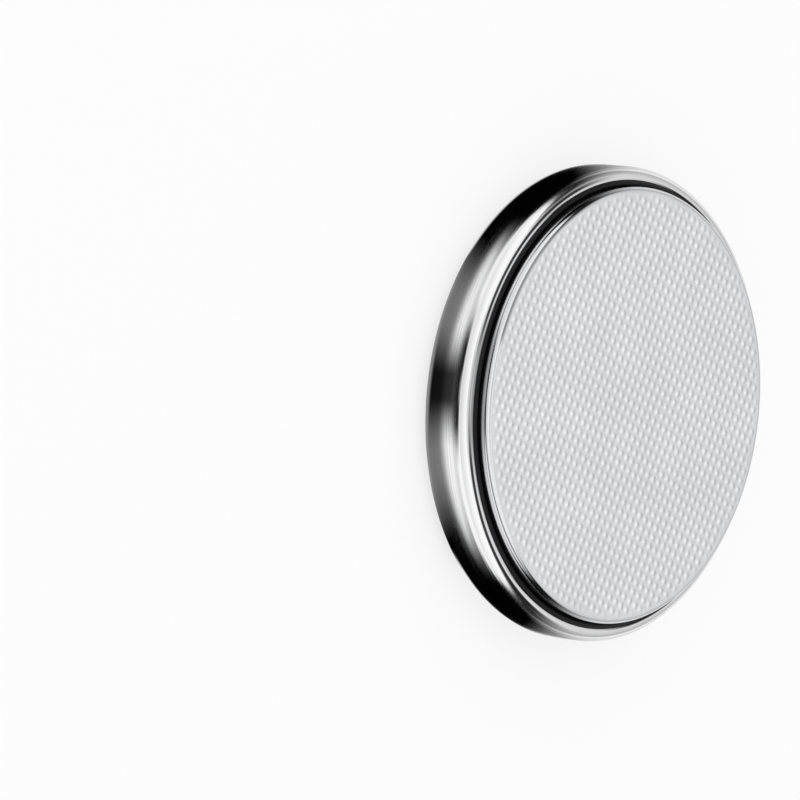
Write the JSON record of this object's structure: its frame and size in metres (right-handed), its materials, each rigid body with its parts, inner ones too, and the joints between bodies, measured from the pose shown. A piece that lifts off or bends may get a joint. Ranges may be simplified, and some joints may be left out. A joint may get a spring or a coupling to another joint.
{
  "type": "lithium coin cell",
  "caption": "Round lithium coin cell: a rolled steel can, a black sealing ring and an embossed cap, with the electrode stack inside.",
  "frame": {"origin": "centre of the flat positive base, on the surface that the cell lies on", "axes": "+Z along the cell's axis from the positive base towards the embossed negative cap; +X and +Y lie in the base"},
  "size_m": [0.02, 0.02, 0.0032],
  "materials": {
    "can_steel": "polished nickel-plated steel, satin base",
    "gasket_plastic": "smooth black moulding",
    "cap_steel": "bright embossed nickel-plated steel",
    "collector_steel": "perforated stainless disc",
    "pellet_mix": "pressed black powder",
    "separator_felt": "off-white non-woven",
    "lithium_metal": "dull soft metal"
  },
  "bodies": {
    "root": {"positive_can": "can_steel", "gasket": "gasket_plastic", "negative_cap": "cap_steel", "collector_mesh": "collector_steel", "cathode_pellet": "pellet_mix", "separator": "separator_felt", "lithium_anode": "lithium_metal"}
  },
  "joints": []
}
